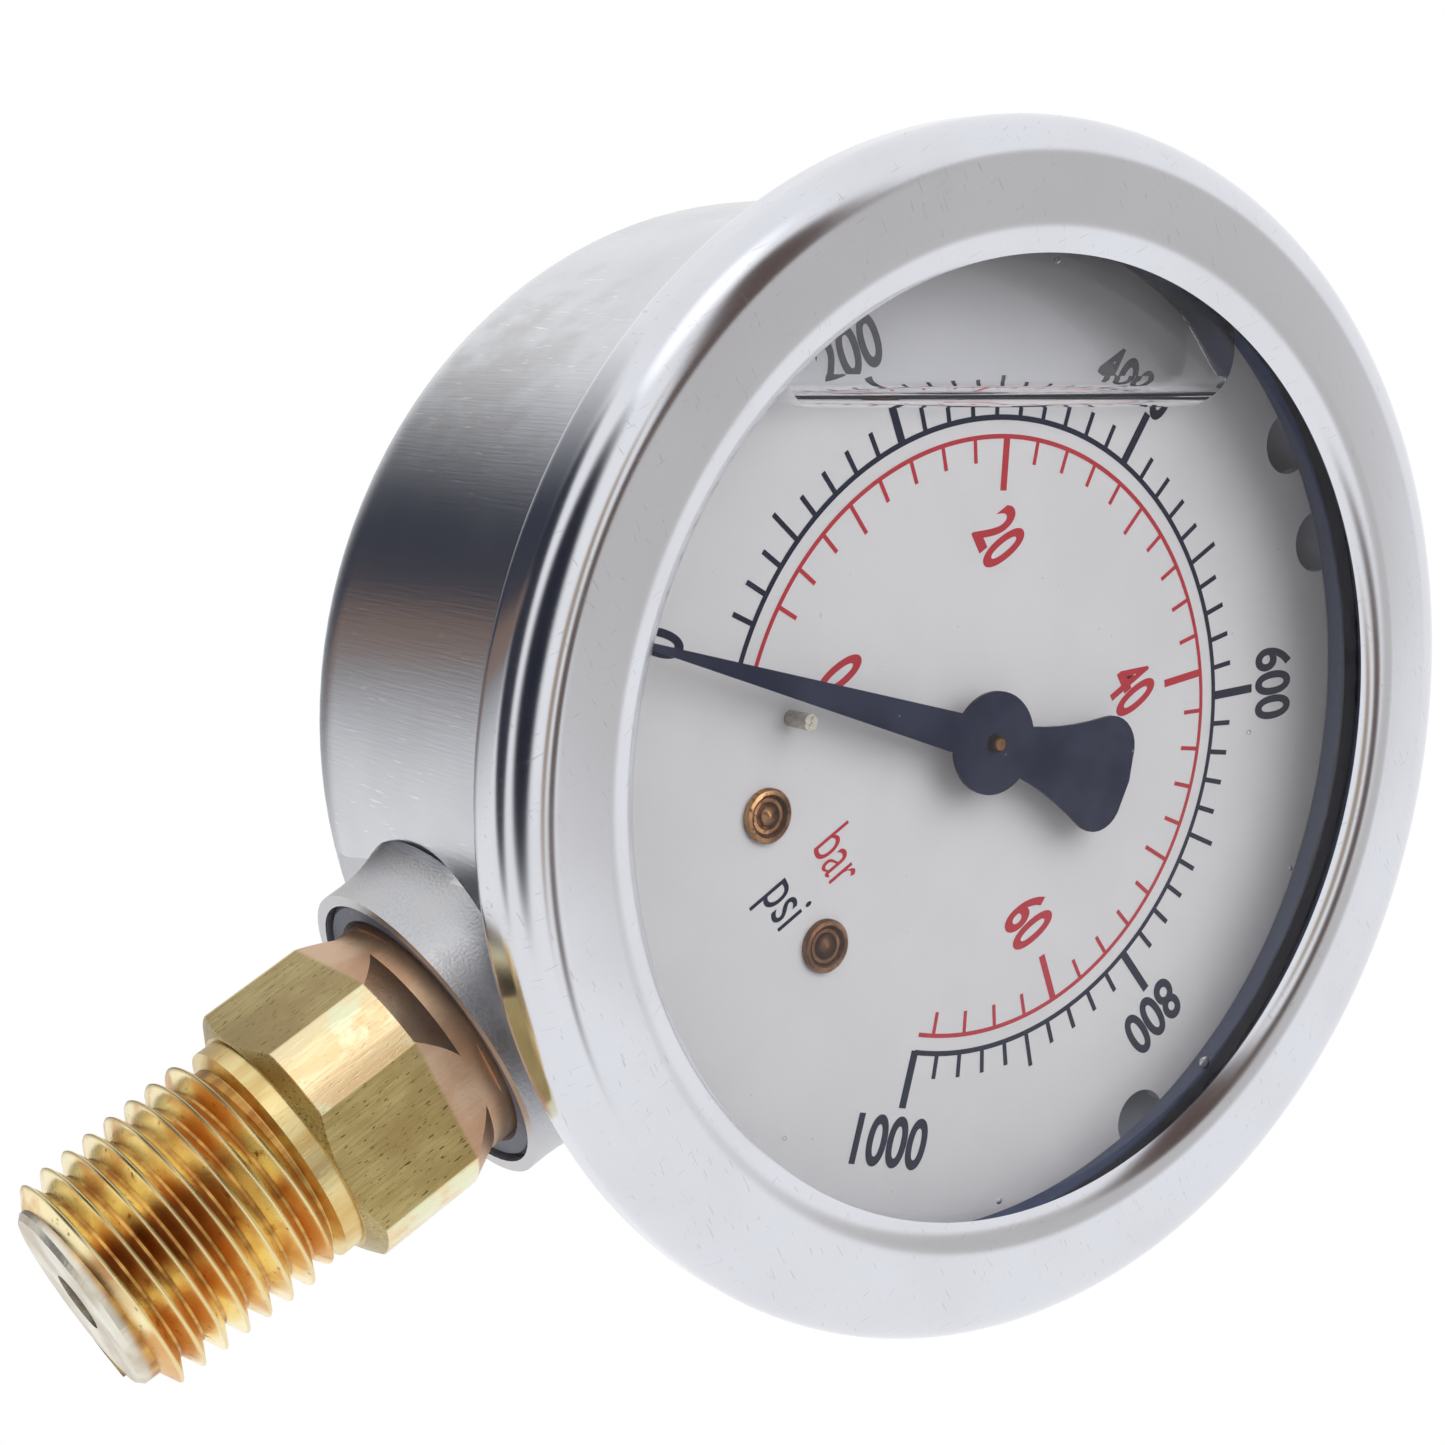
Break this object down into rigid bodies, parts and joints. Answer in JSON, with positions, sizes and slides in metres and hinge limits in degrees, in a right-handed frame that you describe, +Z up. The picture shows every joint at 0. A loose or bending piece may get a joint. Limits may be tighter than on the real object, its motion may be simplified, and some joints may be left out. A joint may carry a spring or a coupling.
{
  "type": "pressure gauge",
  "caption": "Liquid-filled Bourdon tube pressure gauge: crimped steel case, round white dial, pointer, geared movement and a brass bottom stem with a taper pipe thread.",
  "frame": {"origin": "on the stem's axis, at the end of the threaded spigot", "axes": "+Z up the stem towards the case, -Y the way the dial faces, +X to the right as the dial is read"},
  "size_m": [0.068, 0.0325, 0.091],
  "materials": {
    "case_steel": "satin",
    "bezel_steel": "polished",
    "clear": "polished",
    "rubber_black": "satin",
    "dial_white": "satin",
    "brass_screw": "satin",
    "steel_pin": "satin",
    "pointer_black": "satin",
    "movement_brass": "satin",
    "arbor_metal": "satin",
    "spring_bronze": "polished",
    "tube_bronze": "satin",
    "socket_brass": "machined",
    "seal_rubber": "satin",
    "plug_rubber": "matt"
  },
  "bodies": {
    "housing": {"case": "case_steel", "bezel": "bezel_steel", "window": "clear", "window_gasket": "rubber_black", "dial": "dial_white", "dial_screws": "brass_screw", "stop_pin": "steel_pin", "spring_stud": "movement_brass", "front_plate": "movement_brass", "back_plate": "movement_brass", "pillars": "movement_brass", "plate_screws": "brass_screw", "socket": "socket_brass", "socket_seal": "seal_rubber", "restrictor": "arbor_metal", "fill_plug": "plug_rubber"},
    "pointer_group": {"pointer": "pointer_black", "pointer_hub": "brass_screw", "pinion_arbor": "arbor_metal", "spring_collet": "movement_brass", "hairspring": "spring_bronze"},
    "sector_group": {"sector_gear": "movement_brass", "sector_shaft": "arbor_metal", "link_screw": "brass_screw"},
    "link_body": {"link": "arbor_metal"},
    "tube_end": {"bourdon_tube": "tube_bronze", "tube_tip": "movement_brass", "tip_pin": "brass_screw"}
  },
  "joints": [
    {"name": "sector_swing", "type": "hinge", "parent": "housing", "child": "sector_group", "pos_m": [0, 0, 0.04575], "axis": [0, 1, 0], "range_deg": [-33.75, 0], "stiffness_Nm_per_rad": 0.0002},
    {"name": "pointer_spin", "type": "hinge", "parent": "housing", "child": "pointer_group", "pos_m": [0, 0, 0.057], "axis": [0, 1, 0], "range_deg": [0, 270], "deforming": ["hairspring"]},
    {"name": "tip_swing", "type": "hinge", "parent": "housing", "child": "tube_end", "pos_m": [-0.002, 0, 0.0637], "axis": [0, 1, 0], "range_deg": [-11.5, 0], "deforming": ["bourdon_tube"]},
    {"name": "link_swing", "type": "hinge", "parent": "sector_group", "child": "link_body", "pos_m": [0.00353, 0, 0.0409], "axis": [0, 1, 0], "range_deg": [0, 36.43]}
  ],
  "couplings": [
    {"joint": "pointer_spin", "follows": "sector_swing", "ratio": -8},
    {"joint": "tip_swing", "follows": "sector_swing", "ratio": 0.34},
    {"joint": "link_swing", "follows": "sector_swing", "ratio": -1.0789}
  ]
}
